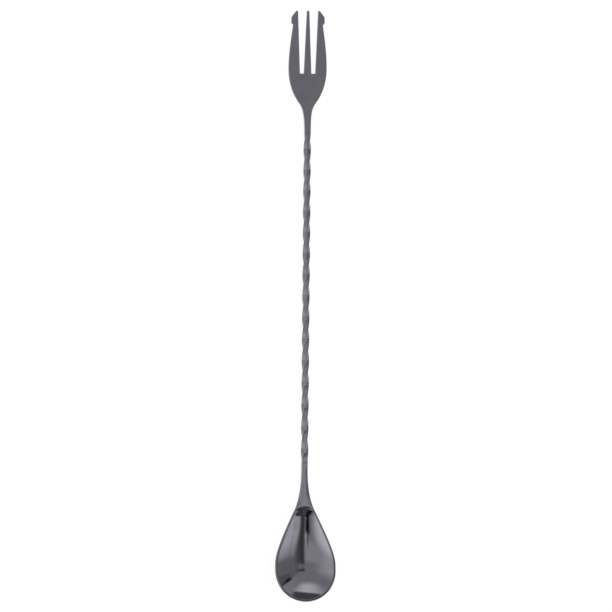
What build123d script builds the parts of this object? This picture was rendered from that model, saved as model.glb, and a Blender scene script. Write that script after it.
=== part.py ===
"""Bar spoon with a twisted stem and a three-tined fork end, in millimetres.

The spoon lies on its back on z = 0: X is across it, Y runs along it from the
bowl (-Y) to the fork (+Y), and the bowl opens upward. The origin is under the
middle of its box. Three forgings meet end to end on the stem line: the bowl
with its neck, the twisted square wire, and the fork with its neck. Each end of
the wire is turned down to a spigot that is brazed into its neck, and the vee
round each joint is filled with a ring of braze and polished flush.
"""

import os
from math import asin, cos, degrees, radians, sin, tan

from build123d import *

# Stem: square wire with a right-hand twist
wire_size = 3.0
wire_corner = 0.35
quarter_turns = 15
quarter_turn_length = 11.53
plain_end = 0.8  # untwisted length at each end of the wire

# Joints between the wire and the two necks
spigot_diameter = 1.8
spigot_length = 6.0
braze_gap = 0.05  # round the spigot and past its end
braze_vee = 0.25  # chamfer on each side of a joint
neck_size = 3.2
joint_height = 2.3  # stem line above the table at the fork's joint

# Bowl: widths are whole widths, places are distances from the bowl's tip
bowl_piece_length = 74.0  # tip to joint
bowl_width = 32.7
bowl_depth = 7.5
bowl_wall = 1.3
rim_height = 1.8  # upright height of the rim's edge
rim_round = 0.55  # rounding of the rim and of the neck's corners
rim_rise = 9.0  # degrees that the rim climbs toward the tip
rim_bend = 52.0  # middle of the bend between the neck and the rim
rim_bend_reach = 6.0
shoulder_reach = 5.65  # how far the round tip carries on into the flank
flank_width = 10.92  # where the flank turns from bulging to hollow
flank_place = 48.5
flank_angle = 26.2  # of the flank to the stem line there
flank_reach = 27.0
flare_reach = 5.0
plain_neck = 4.0  # parallel length of neck behind the joint
flare_end_reach = 9.4
narrowing_ratio = 0.8  # how much tighter the hollow curves at its narrow end
hollow_end = 52.0  # where the hollow runs out into the neck
hollow_run_out = 7.5
belly_run_out = 24.0  # length over which the belly becomes the neck's underside
sheet_margin = 2.0  # how far the sheet is made past its outline

# Fork: places are distances from the tips of the tines
fork_piece_length = 66.8  # tips to joint
fork_width = 20.6
fork_widest = 30.9
fork_thickness = 1.8
fork_round = 0.3  # rounding of the fork's edges
blade_end = 44.0  # where the flat blade starts to thicken into the neck
slot_depth = 33.6
slot_corner = 0.6
middle_tine_tip, middle_tine_root = 1.25, 4.0  # widths of the middle tine
slot_tip, slot_root = 4.88, 2.2  # widths of each slot
tine_corner = 0.4
tip_flat = 0.8  # width of an outer tine's blunt tip
barb_corner = 0.35
neck_reach = 8.0  # how gently the blade turns into the neck, in side view
slant_back = 2.9  # how far back an outer tine's tip slants
slant_inset = 0.4  # from there out to the barb's width
barb_width = 18.0
barb_round_reach = 1.4
barb_place = 6.95
barb_step = 0.3  # length of the barb's step down to the notch
notch_width = 16.2
notch_place = 8.0
notch_flare = 1.28  # how far out the edge heads over its reach
notch_flare_reach = 8.65
side_reach = 7.0  # how gently the edge passes its widest place, toward the tips
hip_reach = 5.9  # and toward the neck
shoulder_width = 9.35  # where the fork's shoulder turns from bulging to hollow
shoulder_place = 49.2
shoulder_angle = 36.1
shoulder_bulge_reach = 7.3
shoulder_hollow_reach = 3.85
neck_flare_reach = 13.3

bowl_radius = bowl_width / 2
flare_end = bowl_piece_length - plain_neck  # where the flare has become the neck
neck_half = neck_size / 2
stem_length = quarter_turns * quarter_turn_length + 2 * plain_end
fork_joint = bowl_piece_length + stem_length  # from the bowl's tip
bore_radius = spigot_diameter / 2 + braze_gap


def ease(x):
    """0 up to x = 0, 1 from x = 1, and a smooth climb between."""
    x = min(max(x, 0.0), 1.0)
    return x**3 * (x * (6 * x - 15) + 10)


def toward(angle, reach):
    """A step along a flank that closes on the stem line at this angle."""
    return Vector(-sin(radians(angle)), cos(radians(angle))) * reach


def rim_line(place):
    """Height of the rim, or of the neck's top, above the stem line."""
    x = (rim_bend - place) / rim_bend_reach
    bend = max(x, 0.0) if abs(x) > 1 else (3 + 8 * x + 6 * x**2 - x**4) / 16
    return neck_half + tan(radians(rim_rise)) * rim_bend_reach * bend


def section(place, half_width_squared):
    """Heights and curvatures (k in z = k x^2) of the two faces of the bowl."""
    tighten = 1 + narrowing_ratio * ease((place - bowl_radius) / (hollow_end - bowl_radius))
    hollow = 1 - ease((place - hollow_end) / hollow_run_out + 1)
    blend = ease((place - flare_end) / belly_run_out + 1)
    edge = rim_height + (neck_size - rim_height) * blend
    top_k = bowl_depth / bowl_radius**2 * tighten * hollow
    belly = bowl_depth + bowl_wall - rim_height
    bottom_k = belly / bowl_radius**2 * tighten * (1 - blend)
    top = rim_line(place) - top_k * half_width_squared
    bottom = rim_line(place) - edge - bottom_k * half_width_squared
    return top, top_k, bottom, bottom_k


# The bowl's flank and flare in plan, to the right of the stem line
turn = Vector(flank_width / 2, flank_place)
flank = Edge.make_bezier(
    (bowl_radius, bowl_radius),
    (bowl_radius, bowl_radius + shoulder_reach),
    turn - toward(flank_angle, flank_reach),
    turn,
)
flare = Edge.make_bezier(
    turn,
    turn + toward(flank_angle, flare_reach),
    (neck_half, flare_end - flare_end_reach),
    (neck_half, flare_end),
)

# Stations along the bowl: place, half width squared, and how far to each side
# the sheet is made before it is cut to plan. Past the tip the square goes on
# below zero, so both faces run out smoothly beyond the outline.
tip_places = [bowl_radius * step / 4 for step in range(-1, 4)]
tip_side = bowl_radius + sheet_margin
stations = [(y, y * (2 * bowl_radius - y), tip_side) for y in tip_places]
for curve, steps in ((flank, 9), (flare, 10)):
    points = [curve @ (step / steps) for step in range(steps)]
    stations += [(point.Y, point.X**2, point.X + sheet_margin) for point in points]
for place in (flare_end, bowl_piece_length):
    stations.append((place, neck_half**2, neck_half + sheet_margin))

# The belly and the blade both rest on the table, which tilts the stem line
lean = max(
    (-section(place, square)[2] - joint_height) / (fork_joint - place)
    for place, square, _ in stations
)
tip_height = rim_line(0) - rim_height / 2
reach = (
    fork_piece_length
    + fork_joint * cos(asin(lean))
    - tip_height * lean
) / 2
up = Vector(0, lean, cos(asin(lean)))
fork_joint_point = Vector(0, reach - fork_piece_length, joint_height)
along = Vector(0, up.Z, -lean)

# The stem line starts under the bowl's tip and runs toward the fork
stem_line = Plane(fork_joint_point - along * fork_joint, (1, 0, 0), up)
fork_tips = Plane((0, reach, 0), (-1, 0, 0), (0, 0, 1))


def across(place):
    """The plane square to the stem line at this distance from the bowl's tip."""
    return Plane(stem_line.from_local_coords((0, place, 0)), (1, 0, 0), -along)


# Bowl and neck: a sheet lofted between its hollow and its belly, cut to plan
with BuildPart() as spoon_bowl:
    for place, square, side in stations:
        top, top_k, bottom, bottom_k = section(place, square)
        high, low = top_k * side**2, bottom_k * side**2
        with BuildSketch(across(place)):
            with BuildLine():
                Bezier((-side, top + high), (0, top - high), (side, top + high))
                Line((side, top + high), (side, bottom + low))
                Bezier((side, bottom + low), (0, bottom - low), (-side, bottom + low))
                Line((-side, bottom + low), (-side, top + high))
            make_face()
    loft()
    with BuildSketch(stem_line.offset(-bowl_width)):
        with BuildLine():
            RadiusArc((0, 0), (bowl_radius, bowl_radius), -bowl_radius)
            add(flank)
            add(flare)
            Line((neck_half, flare_end), (neck_half, bowl_piece_length))
            Line((neck_half, bowl_piece_length), (0, bowl_piece_length))
            mirror(about=Plane.YZ)
        make_face()
    extrude(amount=2 * bowl_width, mode=Mode.INTERSECT)
    end = spoon_bowl.faces().sort_by(Axis.Y)[-1]
    fillet(spoon_bowl.edges().filter_by(GeomType.BSPLINE) - end.edges(), rim_round)
    chamfer(spoon_bowl.faces().sort_by(Axis.Y)[-1].edges(), braze_vee)
    with BuildSketch(across(bowl_piece_length)):
        Circle(bore_radius)
    extrude(amount=spigot_length + braze_gap, mode=Mode.SUBTRACT)
spoon_bowl.part.label = "spoon_bowl"

# Twisted wire: plain at both ends, then turned down to a spigot
wire_start, wire_end = bowl_piece_length, fork_joint
with BuildPart() as twisted_stem:
    for start, length in ((wire_start, plain_end), (wire_end - plain_end, plain_end)):
        with BuildSketch(across(start)):
            RectangleRounded(wire_size, wire_size, wire_corner)
        extrude(amount=-length)
    chamfer(
        twisted_stem.faces().sort_by(Axis.Y)[0].edges()
        + twisted_stem.faces().sort_by(Axis.Y)[-1].edges(),
        braze_vee,
    )
    with BuildSketch(across(wire_start + plain_end), mode=Mode.PRIVATE) as wire:
        RectangleRounded(wire_size, wire_size, wire_corner)
    add(
        Solid.extrude_linear_with_rotation(
            wire.sketch.face(),
            across(wire_start + plain_end).origin,
            along * (quarter_turns * quarter_turn_length),
            90 * quarter_turns,
        )
    )
    for place, reach_out in ((wire_start, spigot_length), (wire_end, -spigot_length)):
        with BuildSketch(across(place)):
            Circle(spigot_diameter / 2)
        extrude(amount=reach_out)
twisted_stem.part.label = "twisted_stem"

# Fork and neck: the plan of the tines, cut to the side view of blade and neck
tip_inner = middle_tine_tip / 2 + slot_tip
slant_end = Vector(barb_width / 2 - slant_inset, slant_back)
slant = (slant_end - Vector(tip_inner + tip_flat, 0)).normalized()
barb = Vector(barb_width / 2 - slant_inset / 4, barb_place)
step = Vector((notch_width + barb_step) / 2, barb_place + barb_step)
notch = Vector(notch_width / 2, notch_place)
widest = Vector(fork_width / 2, fork_widest)
shoulder = Vector(shoulder_width / 2, shoulder_place)
past_joint = Vector(neck_half, fork_piece_length + neck_half / 2)
with BuildPart() as fork_head:
    with BuildSketch(fork_tips) as fork_plan:
        with BuildLine():
            Polyline((0, 0), (tip_inner + tip_flat, 0), slant_end)
            Bezier(
                slant_end,
                slant_end + slant * barb_round_reach / 2,
                barb + (slant_inset / 2, -barb_round_reach),
                barb,
            )
            Polyline(barb, step, notch)
            Bezier(
                notch,
                notch + (notch_flare, notch_flare_reach),
                widest - (0, side_reach),
                widest,
            )
            Bezier(
                widest,
                widest + (0, hip_reach),
                shoulder - toward(shoulder_angle, shoulder_bulge_reach),
                shoulder,
            )
            Bezier(
                shoulder,
                shoulder + toward(shoulder_angle, shoulder_hollow_reach),
                past_joint - (0, neck_flare_reach),
                past_joint,
            )
            Line(past_joint, (0, past_joint.Y))
            mirror(about=Plane.YZ)
        make_face()
        with BuildLine():
            Polyline(
                (middle_tine_tip / 2, 0),
                (middle_tine_root / 2, slot_depth),
                (middle_tine_root / 2 + slot_root, slot_depth),
                (tip_inner, 0),
                close=True,
            )
        slot = make_face(mode=Mode.SUBTRACT)
        mirror(slot, about=Plane.YZ, mode=Mode.SUBTRACT)
        tips = fork_plan.vertices().group_by(Axis.Y)[0]
        roots = fork_plan.vertices().filter_by_position(
            Axis.Y, slot_depth - slot_corner, slot_depth + slot_corner
        )
        barbs = fork_plan.vertices().filter_by_position(Axis.Y, barb.Y, notch_place)
        fillet(tips, tine_corner)
        fillet(roots, slot_corner)
        fillet(barbs, barb_corner)
    extrude(amount=joint_height + neck_size)
    out, normal = Vector(up.Z, lean), Vector(-lean, up.Z)
    joint_center = Vector(fork_piece_length, joint_height)
    neck_bottom, neck_top = (joint_center + normal * h for h in (-neck_half, neck_half))
    with BuildSketch(Plane((0, reach, 0), (0, -1, 0), (-1, 0, 0))):
        with BuildLine():
            Polyline((blade_end, 0), (-1, 0), (-1, fork_thickness))
            Line((-1, fork_thickness), (blade_end, fork_thickness))
            Bezier(
                (blade_end, fork_thickness),
                (blade_end + neck_reach, fork_thickness),
                neck_top - neck_reach * out,
                neck_top,
            )
            Line(neck_top, neck_bottom)
            Bezier(
                neck_bottom,
                neck_bottom - neck_reach * out,
                (blade_end + neck_reach, 0),
                (blade_end, 0),
            )
        make_face()
    extrude(amount=fork_width, both=True, mode=Mode.INTERSECT)
    end = fork_head.faces().sort_by(Axis.Y)[0]
    fillet(
        fork_head.edges().filter_by(Axis.Z, reverse=True) - end.edges(), fork_round
    )
    chamfer(fork_head.faces().sort_by(Axis.Y)[0].edges(), braze_vee)
    with BuildSketch(across(fork_joint)):
        Circle(bore_radius)
    extrude(amount=-spigot_length - braze_gap, mode=Mode.SUBTRACT)
fork_head.part.label = "fork_head"

def braze_ring(joint, to_wire, neck_corner):
    """The braze that fills the vee between a neck and the wire, flush with both."""
    neck_side = (neck_size, neck_corner, -1)
    neck_root = (neck_size - 2 * braze_vee, neck_corner - braze_vee, 0)
    wire_root = (wire_size - 2 * braze_vee, wire_corner - braze_vee, 0)
    wire_side = (wire_size, wire_corner, 1)
    with BuildPart() as ring:
        for squares, mode in (
            ((neck_side, wire_side), Mode.ADD),
            ((neck_side, neck_root), Mode.SUBTRACT),
            ((wire_root, wire_side), Mode.SUBTRACT),
        ):
            for size, corner, step in squares:
                with BuildSketch(across(joint + step * to_wire * braze_vee)):
                    RectangleRounded(size, size, corner)
            loft(ruled=True, mode=mode)
    return ring.part


bowl_end_braze = braze_ring(bowl_piece_length, 1, rim_round)
bowl_end_braze.label = "bowl_end_braze"
fork_end_braze = braze_ring(fork_joint, -1, fork_round)
fork_end_braze.label = "fork_end_braze"

os.makedirs("parts", exist_ok=True)
export_step(spoon_bowl.part, "parts/spoon_bowl.step")
export_step(twisted_stem.part, "parts/twisted_stem.step")
export_step(fork_head.part, "parts/fork_head.step")
export_step(bowl_end_braze, "parts/bowl_end_braze.step")
export_step(fork_end_braze, "parts/fork_end_braze.step")
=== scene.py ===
"""Bar spoon in gunmetal-plated stainless steel: a teardrop bowl, a twisted stem and
a three-tined fork end, lying on its back on a white table. All lengths are in metres.
"""

import bmesh
import bpy
import numpy as np
from mathutils import Matrix, Vector


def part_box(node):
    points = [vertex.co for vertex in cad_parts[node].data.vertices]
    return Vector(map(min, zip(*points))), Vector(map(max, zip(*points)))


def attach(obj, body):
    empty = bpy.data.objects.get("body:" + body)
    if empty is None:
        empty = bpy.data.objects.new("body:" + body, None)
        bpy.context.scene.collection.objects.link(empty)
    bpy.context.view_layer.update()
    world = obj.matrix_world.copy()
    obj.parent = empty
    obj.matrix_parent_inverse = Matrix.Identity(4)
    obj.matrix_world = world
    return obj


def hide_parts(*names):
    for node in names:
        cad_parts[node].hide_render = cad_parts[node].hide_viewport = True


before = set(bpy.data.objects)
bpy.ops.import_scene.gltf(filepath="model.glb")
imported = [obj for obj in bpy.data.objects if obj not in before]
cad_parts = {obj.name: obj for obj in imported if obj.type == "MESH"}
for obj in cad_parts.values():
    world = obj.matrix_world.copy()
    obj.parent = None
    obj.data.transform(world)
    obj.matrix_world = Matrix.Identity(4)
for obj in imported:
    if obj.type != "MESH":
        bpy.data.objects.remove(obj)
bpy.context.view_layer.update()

# ---------------------------------------------------------------------------
# Stem: a length of 3 mm square stainless wire, twisted cold while its two ends
# are held straight, then turned down to a spigot at each end for brazing. The
# twist leaves four rounded corners that climb it as a right-hand screw.
# ---------------------------------------------------------------------------
MM = 0.001
wire_size = 3.0 * MM
wire_corner = 0.35 * MM
quarter_turn = 11.53 * MM
plain_end = 0.8 * MM
twist_onset = 2.6 * MM, 0.4 * MM  # lengths over which it gets under way, bowl end first
twist_drift = 0.055  # share by which it is tighter at the fork's end and looser at the bowl's
braze_vee = 0.25 * MM
spigot_radius = 0.9 * MM
spigot_length = 6.0 * MM


def middle(box):
    """The middle of a box given by its lowest and highest corners."""
    return (np.array(box[0]) + np.array(box[1])) / 2


bowl_joint = middle(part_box("bowl_end_braze"))
fork_joint = middle(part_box("fork_end_braze"))
stem_length = np.linalg.norm(fork_joint - bowl_joint)
along = (fork_joint - bowl_joint) / stem_length
across = np.array((1.0, 0.0, 0.0))
up = np.cross(across, along)


def on_stem_line(x, y, z):
    """Points from lengths along the stem's own axes: across, along from the bowl's joint, up.

    point = bowl joint + x * across + y * along + z * up
    """
    x, y, z = np.broadcast_arrays(x, y, z)
    return bowl_joint + x[..., None] * across + y[..., None] * along + z[..., None] * up


def surface(name, points, closed=False):
    """A smooth skin over a grid of points, one row of the array to each row of the grid.

    The quad at (i, j) joins (i, j), (i, j+1), (i+1, j+1) and (i+1, j). With closed, each
    row runs round into its own start. Points that coincide are merged, which sews seams
    and turns a row of equal points into a pole.
    """
    rows, columns = points.shape[:2]
    number = np.arange(rows * columns).reshape(rows, columns)
    ahead = np.roll(number, -1, axis=1)
    if not closed:
        number, ahead = number[:, :-1], ahead[:, :-1]
    quads = np.stack((number[:-1], ahead[:-1], ahead[1:], number[1:]), axis=-1)
    mesh = bpy.data.meshes.new(name)
    mesh.from_pydata(points.reshape(-1, 3), [], quads.reshape(-1, 4))
    sewn = bmesh.new()
    sewn.from_mesh(mesh)
    bmesh.ops.remove_doubles(sewn, verts=sewn.verts, dist=1e-7)
    bmesh.ops.recalc_face_normals(sewn, faces=sewn.faces)
    sewn.to_mesh(mesh)
    sewn.free()
    mesh.shade_smooth()
    piece = bpy.data.objects.new(name, mesh)
    bpy.context.scene.collection.objects.link(piece)
    return piece


def rounded_square(size, corner, flat_steps=8, corner_steps=6):
    """Plan of a square with rounded corners, counter-clockwise, as an (n, 2) array.

    Each corner is (size/2 - corner) * (+-1, +-1) + corner * (cos a, sin a), with a over
    a quarter turn, and the flats between the corners are divided evenly.
    """
    a = np.linspace(0, np.pi / 2, corner_steps + 1)
    quarter = size / 2 - corner + corner * np.stack((np.cos(a), np.sin(a)), axis=-1)
    share = np.arange(1, flat_steps)[:, None] / flat_steps
    side = quarter[-1] + share * (quarter[-1] * (-1, 1) - quarter[-1])
    quarter = np.concatenate((quarter, side))
    turns = np.array((((1, 0), (0, 1)), ((0, 1), (-1, 0)), ((-1, 0), (0, -1)), ((0, -1), (1, 0))))
    return np.einsum("pk,tkm->tpm", quarter, turns).reshape(-1, 2)


def twist(y):
    """Turn of the wire, in radians, at each of many lengths y from the bowl's joint.

    The rate of turn climbs from nothing to full over twist_onset past each plain end,
    and the twist is a little tighter toward the fork, where the wire was gripped.
    rate = onset * (1 + twist_drift * (2 share of length - 1))
    turn = whole number of quarter turns * running sum of rate / sum of rate
    """
    onset = np.minimum(
        (y - plain_end) / twist_onset[0], (stem_length - plain_end - y) / twist_onset[1]
    )
    rate = np.clip(onset, 0, 1) * (1 + twist_drift * (2 * y / stem_length - 1))
    turned = np.cumsum(rate) / rate.sum()
    quarter_turns = round((stem_length - 2 * plain_end) / quarter_turn)
    return turned * quarter_turns * np.pi / 2


def turned(plan, angle):
    """Points (x, z) of a plan turned right-handed round the stem line, one row per angle.

    x' = x cos + z sin, z' = z cos - x sin
    """
    c, s = np.cos(angle)[..., None], np.sin(angle)[..., None]
    x, z = plan[..., 0], plan[..., 1]
    return x * c + z * s, z * c - x * s


wire_plan = rounded_square(wire_size, wire_corner)
spigot_plan = wire_plan / np.linalg.norm(wire_plan, axis=1)[:, None] * spigot_radius
vee_plan = rounded_square(wire_size - 2 * braze_vee, wire_corner - braze_vee)
end_plans = np.stack((spigot_plan * 0, spigot_plan, spigot_plan, vee_plan))
end_y = -spigot_length * np.array((1, 1, 0, 0))[:, None]
wire_y = np.linspace(braze_vee, stem_length - braze_vee, 900)
wire_turn = twist(wire_y)

x, z = turned(wire_plan, wire_turn)
wire_rows = on_stem_line(x, wire_y[:, None], z)
x, z = turned(end_plans, wire_turn[:1])
near_rows = on_stem_line(x, end_y, z)
x, z = turned(end_plans[::-1], wire_turn[-1:])
far_rows = on_stem_line(x, stem_length - end_y[::-1], z)
stem = surface("stem", np.concatenate((near_rows, wire_rows, far_rows)), closed=True)
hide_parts("twisted_stem")
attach(stem, "root")


def linear(sheen):
    """An sRGB hex colour as linear red, green, blue and 1."""
    values = np.array([int(sheen[i : i + 2], 16) for i in (1, 3, 5)]) / 255
    low, high = values / 12.92, ((values + 0.055) / 1.055) ** 2.4
    return (*np.where(values <= 0.04045, low, high), 1.0)


def add(material, kind, place=(0, 0), links=(), **settings):
    """A node of one kind, with its settings, its inputs' values and the links into it.

    A setting named after an attribute of the node is set there, and links are pairs of
    an input's name and the output that feeds it.
    """
    node = material.node_tree.nodes.new(kind)
    node.location = place
    for name, value in settings.items():
        if hasattr(node, name):
            setattr(node, name, value)
        else:
            node.inputs[name.replace("_", " ")].default_value = value
    for name, output in links:
        material.node_tree.links.new(node.inputs[name], output)
    return node


# Polished gunmetal plating: a dark violet-grey mirror, with the faint cloudiness of a
# thin plated film, fine polishing lines along the spoon and slight hand-polished waves.
gunmetal = bpy.data.materials.new("polished_gunmetal_plating")
gunmetal.use_nodes = True
gunmetal.node_tree.nodes.clear()
spot = add(gunmetal, "ShaderNodeTexCoord", (-1200, 0)).outputs["Object"]
lengthwise = add(
    gunmetal, "ShaderNodeMapping", (-1000, -200), [("Vector", spot)], Scale=(1, 0.04, 1)
).outputs["Vector"]
film = add(
    gunmetal,
    "ShaderNodeTexNoise",
    (-800, 200),
    [("Vector", spot)],
    Scale=160,
    Detail=3,
    Roughness=0.6,
)
lines = add(
    gunmetal, "ShaderNodeTexNoise", (-800, -100), [("Vector", lengthwise)], Scale=2600, Detail=2
)
waves = add(gunmetal, "ShaderNodeTexNoise", (-800, -400), [("Vector", spot)], Scale=220, Detail=1)
tone = add(gunmetal, "ShaderNodeValToRGB", (-500, 200), [("Fac", film.outputs["Fac"])])
thin, thick = tone.color_ramp.elements
thin.position, thin.color = 0.3, linear("#716f77")
thick.position, thick.color = 0.7, linear("#79777e")
gloss = add(
    gunmetal,
    "ShaderNodeMapRange",
    (-500, -100),
    [("Value", lines.outputs["Fac"])],
    From_Min=0.3,
    From_Max=0.7,
    To_Min=0.05,
    To_Max=0.11,
)
skin = add(
    gunmetal,
    "ShaderNodeBump",
    (-500, -400),
    [("Height", waves.outputs["Fac"])],
    Strength=0.5,
    Distance=0.02 * MM,
)
plating = add(
    gunmetal,
    "ShaderNodeBsdfPrincipled",
    (-200, 0),
    [
        ("Base Color", tone.outputs["Color"]),
        ("Roughness", gloss.outputs["Result"]),
        ("Normal", skin.outputs["Normal"]),
    ],
    Metallic=1.0,
)
add(gunmetal, "ShaderNodeOutputMaterial", (100, 0), [("Surface", plating.outputs["BSDF"])])
stem.data.materials.append(gunmetal)

# ---------------------------------------------------------------------------
# Bowl and neck: one forging in stainless steel, a hollow sheet cut to a teardrop
# whose upright edge is rounded over, running out into a square neck with a crowned
# upper face. The neck is bored for the wire's spigot and brazed to it.
# ---------------------------------------------------------------------------
bowl_length = 74.0 * MM  # from the bowl's tip to the joint
bowl_radius = 16.35 * MM
hollow_depth = 6.9 * MM
belly_depth = 7.0 * MM
rim_height = 1.8 * MM
rim_round = 0.7 * MM, 0.55 * MM  # over the hollow and under the belly
rim_rise = np.radians(9.0)
rim_bend = 52.0 * MM
rim_bend_reach = 6.0 * MM
shoulder_reach = 5.65 * MM
flank_turn = np.array((5.46, 48.5)) * MM
flank_angle = np.radians(26.2)
flank_reach = 27.0 * MM
flare_reach = 5.0 * MM
flare_end = 70.0 * MM
flare_end_reach = 9.4 * MM
narrowing_ratio = 0.8
hollow_end = 52.0 * MM
hollow_run_out = 7.5 * MM
belly_run_out = 24.0 * MM
neck_size = 3.2 * MM
neck_crown = 0.45 * MM  # how far its upper face falls away from the middle to each side
crown_onset = 14.0 * MM  # length over which the crown comes in behind the hollow
crown_run_out = 5.0 * MM  # and over which it goes flat again for the joint
neck_half = neck_size / 2
bore_radius = 0.95 * MM
bore_depth = 6.05 * MM
row_lead = 6.0 * MM  # how far the rows of the skin reach ahead along the spine


def bezier(start, leaving, arriving, end, steps=6000):
    """Points on a cubic from start to end.

    (1-t)^3 start + 3 (1-t)^2 t leaving + 3 (1-t) t^2 arriving + t^3 end
    """
    t = np.linspace(0, 1, steps, endpoint=False)[:, None]
    s = 1 - t
    return s**3 * start + 3 * s**2 * t * leaving + 3 * s * t**2 * arriving + t**3 * end


def evenly(curve, count):
    """Points at even distances along a finely divided curve, and its unit tangents there."""
    run = np.concatenate(([0], np.cumsum(np.linalg.norm(np.diff(curve, axis=0), axis=1))))
    at = np.linspace(0, run[-1], count)
    slope = np.gradient(curve, run, axis=0)
    points = np.stack([np.interp(at, run, line) for line in curve.T], axis=-1)
    tangents = np.stack([np.interp(at, run, line) for line in slope.T], axis=-1)
    return points, tangents / np.linalg.norm(tangents, axis=-1, keepdims=True)


def ease(x):
    """0 up to x = 0, 1 from x = 1, and x^3 (x (6 x - 15) + 10) between."""
    x = np.clip(x, 0, 1)
    return x**3 * (x * (6 * x - 15) + 10)


tip_angle = np.linspace(0, np.pi / 2, 6000, endpoint=False)[:, None]
tip_arc = bowl_radius * np.concatenate((np.sin(tip_angle), 1 - np.cos(tip_angle)), axis=1)
toward_neck = np.array((-np.sin(flank_angle), np.cos(flank_angle)))
widest = np.array((bowl_radius, bowl_radius))
neck_start = np.array((neck_half, flare_end))
flank = bezier(
    widest,
    widest + (0, shoulder_reach),
    flank_turn - flank_reach * toward_neck,
    flank_turn,
)
flare = bezier(
    flank_turn,
    flank_turn + flare_reach * toward_neck,
    neck_start - (0, flare_end_reach),
    neck_start,
)
neck_side = np.linspace(neck_start, (neck_half, bowl_length - braze_vee), 2000)
bowl_outline = np.concatenate((tip_arc, flank, flare, neck_side))


def bowl_faces(x, u):
    """Heights of the hollow and the belly above the stem line, x off the spine, u from the tip.

    hollow = rim line - k (w^2 - x^2) - crown x^2 / w^2
    belly = rim line - edge - k' (w^2 - x^2)
    Here w is the half width at u, which round the tip is the root of u (2 R - u). The rim
    line climbs toward the tip past a smooth bend, k tightens where the bowl narrows and
    fades where it runs out, and the crown is there on the neck alone.
    """
    w2 = np.where(
        u < bowl_radius,
        u * (2 * bowl_radius - u),
        np.interp(u, bowl_outline[6000:, 1], bowl_outline[6000:, 0] ** 2),
    )
    v = (rim_bend - u) / rim_bend_reach
    bend = np.where(np.abs(v) > 1, np.maximum(v, 0), (3 + 8 * v + 6 * v**2 - v**4) / 16)
    rim_line = neck_half + np.tan(rim_rise) * rim_bend_reach * bend
    tighten = 1 + narrowing_ratio * ease((u - bowl_radius) / (hollow_end - bowl_radius))
    fade = 1 - ease((u - hollow_end) / hollow_run_out + 1)
    blend = ease((u - flare_end) / belly_run_out + 1)
    edge = rim_height + (neck_size - rim_height) * blend
    k = hollow_depth / bowl_radius**2 * tighten * fade
    k_belly = belly_depth / bowl_radius**2 * tighten * (1 - blend)
    crown = neck_crown * ease((u - hollow_end + hollow_run_out) / crown_onset)
    crown = crown * ease((bowl_length - u) / crown_run_out)
    hollow = rim_line - k * (w2 - x**2) - crown * x**2 / w2
    return hollow, rim_line - edge - k_belly * (w2 - x**2)


outline, tangent = evenly(bowl_outline, 360)
inward = np.stack((-tangent[:, 1], tangent[:, 0]), axis=-1)


def bowl_side(face, steps):
    """One face of the bowl from its spine to its wall, rounded over where they meet.

    In the upright plane square to the outline a ball of the rounding's radius r touches
    both: it lies r from the wall and touches the face at d = r (1 -+ slope / root(1 + slope^2)),
    found by turns. The row then runs on from there in a straight line to the spine.
    """
    side, radius = 1 if face == 0 else -1, rim_round[face]

    def height(d):
        plan = outline + d[:, None] * inward
        return bowl_faces(plan[:, 0], plan[:, 1])[face]

    d = np.full(len(outline), radius)
    for _ in range(12):
        slope = (height(d + 1e-7) - height(d - 1e-7)) / 2e-7
        lean = slope / np.sqrt(1 + slope**2)
        d = radius * (1 - side * lean)
    centre = height(d) - side * radius / np.sqrt(1 + slope**2)
    angle = np.linspace(np.pi / 2 + side * np.arctan(slope), 0, 9)[1:].T
    ball_d = radius * (1 - np.cos(angle))
    ball_z = centre[:, None] + side * radius * np.sin(angle)
    ball = outline[:, None] + ball_d[..., None] * inward[:, None]
    ahead = row_lead * np.clip(1 - outline[:, 1] / bowl_radius, 0, 1) ** 2
    spine = np.stack((0 * ahead, outline[:, 1] + ahead), axis=-1)
    share = np.linspace(0, 1, steps)[:, None]
    touch = outline + d[:, None] * inward
    flat = spine[:, None] + share * (touch - spine)[:, None]
    flat_z = bowl_faces(flat[..., 0], flat[..., 1])[face]
    plan = np.concatenate((flat, ball), axis=1)
    return np.concatenate((plan, np.concatenate((flat_z, ball_z), axis=1)[..., None]), axis=2)


right_half = np.concatenate((bowl_side(0, 60), bowl_side(1, 46)[:, ::-1]), axis=1)
left_half = right_half[:, -2:0:-1] * (-1, 1, 1)
bowl_rows = np.concatenate((right_half, left_half), axis=1)
bore = bowl_rows[-1][:, ::2] / np.linalg.norm(bowl_rows[-1][:, ::2], axis=1)[:, None]
neck_ends = np.stack(
    [
        np.stack((plan[:, 0], np.full(len(plan), y), plan[:, 1]), axis=1)
        for plan, y in (
            (bowl_rows[-1][:, ::2] * (1 - braze_vee / neck_half), bowl_length),
            (bore * bore_radius, bowl_length),
            (bore * bore_radius, bowl_length - bore_depth),
            (bore * 0, bowl_length - bore_depth),
        )
    ]
)
bowl_rows = np.concatenate((bowl_rows, neck_ends))
bowl = surface(
    "bowl",
    on_stem_line(bowl_rows[..., 0], bowl_rows[..., 1] - bowl_length, bowl_rows[..., 2]),
    closed=True,
)
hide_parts("spoon_bowl")
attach(bowl, "root")
bowl.data.materials.append(gunmetal)

# ---------------------------------------------------------------------------
# Fork and the two rings of braze: the fork is one forging in stainless steel, a flat
# blade with three tines and hooked outer edges. The shapes are the solids' own, and
# they are plated together with the rest once the filler has been polished flush.
# ---------------------------------------------------------------------------
for node in ("fork_head", "bowl_end_braze", "fork_end_braze"):
    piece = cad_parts[node]
    piece.material_slots[0].material = gunmetal

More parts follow.
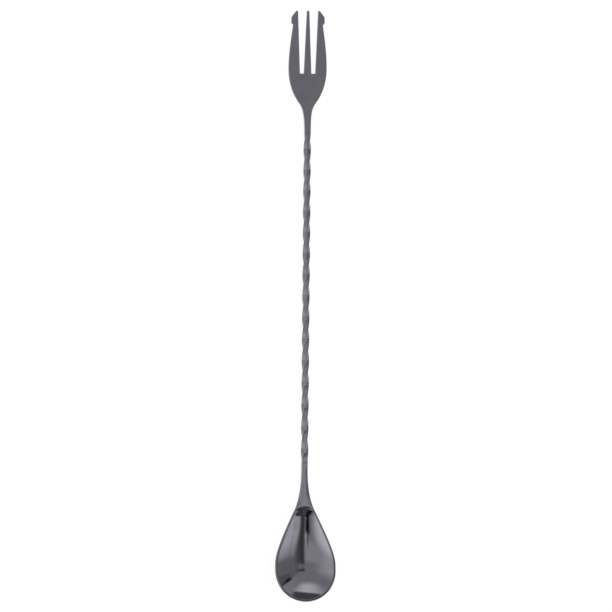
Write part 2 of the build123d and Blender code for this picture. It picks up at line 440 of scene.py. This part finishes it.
# ---------------------------------------------------------------------------
# Table, light and camera: white paper under a tent of white cloth one metre in
# radius. The cloth has no lamps behind it: it glows by itself in painted soft patches,
# bright panels with dim gaps between them, and a card hanging low over the bowl glows
# in painted dark and bright patches. Tent and card are seen only in reflections, so
# their patches are painted reflections in the metal.
# ---------------------------------------------------------------------------
def sheet(name, low, high, height):
    """A flat rectangle at one height, from its low corner to its high corner on plan."""
    x, y = np.meshgrid((low[0], high[0]), (low[1], high[1]))
    return surface(name, np.stack((x, y, np.full((2, 2), height)), axis=-1))


table = sheet("table", (-2.0, -2.0), (2.0, 2.0), -0.02 * MM)
paper = bpy.data.materials.new("white_paper")
paper.use_nodes = True
paper.node_tree.nodes.clear()
matt = add(paper, "ShaderNodeBsdfDiffuse", Color=linear("#ffffff"))
glow = add(paper, "ShaderNodeEmission", (0, -200), Color=linear("#ffffff"), Strength=1.03)
mixed = add(
    paper, "ShaderNodeMixShader", (200, 0), [(1, matt.outputs[0]), (2, glow.outputs[0])], Fac=0.88
)
add(paper, "ShaderNodeOutputMaterial", (400, 0), [("Surface", mixed.outputs[0])])
table.data.materials.append(paper)

tent_radius = 1.0
turn, rise = np.meshgrid(np.linspace(0, 2 * np.pi, 97)[:-1], np.linspace(0, np.pi / 2, 25))
ring = np.cos(rise)
tent_points = np.stack((np.cos(turn) * ring, np.sin(turn) * ring, np.sin(rise)), axis=-1)
tent = surface("tent", tent_points * tent_radius, closed=True)
card = sheet("card", (-0.08, -0.30), (0.28, 0.0), 0.11)


def painted(name, light, cover, patches):
    """A material that glows with soft-edged patches laid over each other, each (shape,
    middle, half size, turn in degrees, softness, light), in metres on plan.

    share = smoothstep of the way in from the edge, over the softness times the half size
    light = old light mixed with the patch's light by the share, cover = larger of the two
    A round patch with a negative softness covers what lies outside it.
    """
    material = bpy.data.materials.new(name)
    material.use_nodes = True
    material.node_tree.nodes.clear()
    material.cycles.emission_sampling = "NONE"
    place = add(material, "ShaderNodeTexCoord", (-1400, 0)).outputs["Object"]
    for number, (shape, centre, half, angle, softness, patch_light) in enumerate(patches):
        at = (-1200 + 220 * number, -150 * number)
        inside = add(
            material,
            "ShaderNodeMapping",
            at,
            [("Vector", place)],
            vector_type="TEXTURE",
            Location=(*centre, 0),
            Scale=(*half, 1e6),
            Rotation=(0, 0, np.radians(angle)),
        ).outputs[0]
        if shape == "round":
            off = add(material, "ShaderNodeVectorMath", at, [(0, inside)], operation="LENGTH")
            sizes, softness = [off.outputs["Value"]], [softness]
        else:
            off = add(material, "ShaderNodeVectorMath", at, [(0, inside)], operation="ABSOLUTE")
            parts = add(material, "ShaderNodeSeparateXYZ", at, [(0, off.outputs[0])])
            sizes = parts.outputs[:2]
        shares = [
            add(
                material,
                "ShaderNodeMapRange",
                at,
                [("Value", size)],
                interpolation_type="SMOOTHSTEP",
                From_Min=1,
                From_Max=1 - soft,
            ).outputs[0]
            for size, soft in zip(sizes, softness)
        ]
        share = shares[0]
        if len(shares) == 2:
            both = add(material, "ShaderNodeMath", at, enumerate(shares), operation="MULTIPLY")
            share = both.outputs[0]
        light_mix = add(material, "ShaderNodeMix", at, [(0, share)])
        light_mix.inputs[3].default_value = patch_light
        cover_mix = add(material, "ShaderNodeMath", at, [(0, share)], operation="MAXIMUM")
        for node, socket, old in ((light_mix, 2, light), (cover_mix, 1, cover)):
            if number:
                material.node_tree.links.new(node.inputs[socket], old)
            else:
                node.inputs[socket].default_value = old
        light, cover = light_mix.outputs[0], cover_mix.outputs[0]
    clear = add(material, "ShaderNodeBsdfTransparent", (900, -200)).outputs[0]
    lit = add(material, "ShaderNodeEmission", (900, 0), [("Strength", light)]).outputs[0]
    mixed = add(
        material, "ShaderNodeMixShader", (1100, 0), [(0, cover), (1, clear), (2, lit)]
    ).outputs[0]
    add(material, "ShaderNodeOutputMaterial", (1300, 0), [("Surface", mixed)])
    return material


# Painted light: the tent's bright panels and dim gaps are patches of its own glow, seen only in
# the spoon's reflections.
tent.data.materials.append(painted("cloth_of_painted_glow", 0.72, 1, (
    ("box", (0.10, 0.87), (0.85, 0.27), 0, (0.95, 0.80), 1.90),
    ("round", (-0.05, -0.30), (1.30, 1.22), 0, -0.012, 0.23),
    ("box", (1.05, 0.65), (0.50, 0.33), 0, (0.35, 0.35), 0.90),
    ("round", (-1.00, -0.10), (0.75, 0.70), 0, 0.9, 1.45),
    ("box", (1.20, 0.11), (0.55, 0.33), 0, (0.2, 0.67), 0.55),
    ("box", (1.20, 0.31), (0.55, 0.155), 0, (0.2, 0.2), 0.38),
    ("box", (-0.15, -0.06), (0.80, 0.22), 0, (0.5, 0.6), 1.02),
    ("box", (0.22, -0.06), (0.12, 0.14), 0, (0.4, 0.4), 1.12),
    ("round", (-1.00, -0.45), (0.62, 0.36), 0, 1.0, 2.7),
    ("round", (0.95, -0.42), (0.62, 0.40), 0, 0.8, 1.6),
    ("round", (0.81, 0.40), (0.13, 0.09), 0, 0.5, 0.08),
    ("box", (0.10, -1.00), (0.95, 0.46), 0, (0.3, 0.2), 0.10),
)))
# Painted reflections: the card's dark patches paint dark bands and its bright patches paint
# highlights into the bowl's reflection.
card.data.materials.append(painted("card_of_painted_reflections", 0.62, 0, (
    ("box", (0.111, -0.089), (0.070, 0.030), 36, (0.3, 0.25), 0.43),
    ("box", (0.066, -0.176), (0.066, 0.074), 0, (0.33, 0.09), 0.16),
    ("round", (0.105, -0.112), (0.085, 0.050), 0, 1.0, 0.52),
    ("round", (0.113, -0.168), (0.078, 0.056), 0, 0.6, 1.38),
    ("box", (0.084, -0.219), (0.150, 0.062), -8.5, (0.33, 0.30), 0.17),
    ("box", (-0.014, -0.193), (0.034, 0.050), 0, (0.8, 0.07), 0.03),
    ("box", (-0.012, -0.138), (0.005, 0.009), 0, (0.6, 0.3), 0.12),
    ("box", (0.026, -0.205), (0.009, 0.040), 0, (0.6, 0.3), 0.30),
    ("box", (0.012, -0.143), (0.005, 0.016), 0, (0.7, 0.3), 0.48),
    ("round", (0.001, -0.140), (0.008, 0.008), 0, 0.6, 1.50),
    ("box", (0.050, -0.265), (0.160, 0.035), 0, (0.2, 0.3), 2.00),
)))
for stand in (tent, card):
    for ray in ("camera", "diffuse", "shadow", "transmission"):
        setattr(stand, f"visible_{ray}", False)

world = bpy.data.worlds.new("studio")
bpy.context.scene.world = world
world.use_nodes = True
world.node_tree.nodes.clear()
air = add(world, "ShaderNodeBackground", (0, 0), Color=(1, 1, 1, 1), Strength=1.0)
add(world, "ShaderNodeOutputWorld", (400, 0), [("Surface", air.outputs[0])])

# The camera looks down from a little to the left, from far off through a long lens.
camera_data = bpy.data.cameras.new("camera")
camera_data.lens = 297.3
camera_data.clip_end = 20
camera = bpy.data.objects.new("camera", camera_data)
bpy.context.scene.collection.objects.link(camera)
tilt, pitch, roll, distance = np.radians(10.0), np.radians(0.4), np.radians(0.525), 2.7
sight = -np.array((-np.sin(tilt) * np.cos(pitch), -np.sin(pitch), np.cos(tilt) * np.cos(pitch)))
flat_up = np.array((0.0, 1.0, 0.0)) - sight[1] * sight
flat_up /= np.linalg.norm(flat_up)
flat_right = np.cross(sight, flat_up)
right = np.cos(roll) * flat_right + np.sin(roll) * flat_up
above = np.cos(roll) * flat_up - np.sin(roll) * flat_right
target = np.array((0.0, 0.0, 0.002)) + 0.00016 * (right - above)
place = Matrix(np.stack((right, above, -sight), axis=1).tolist()).to_4x4()
place.translation = Vector(target - distance * sight)
camera.matrix_world = place
bpy.context.scene.camera = camera

bpy.context.scene.view_settings.view_transform = "Standard"
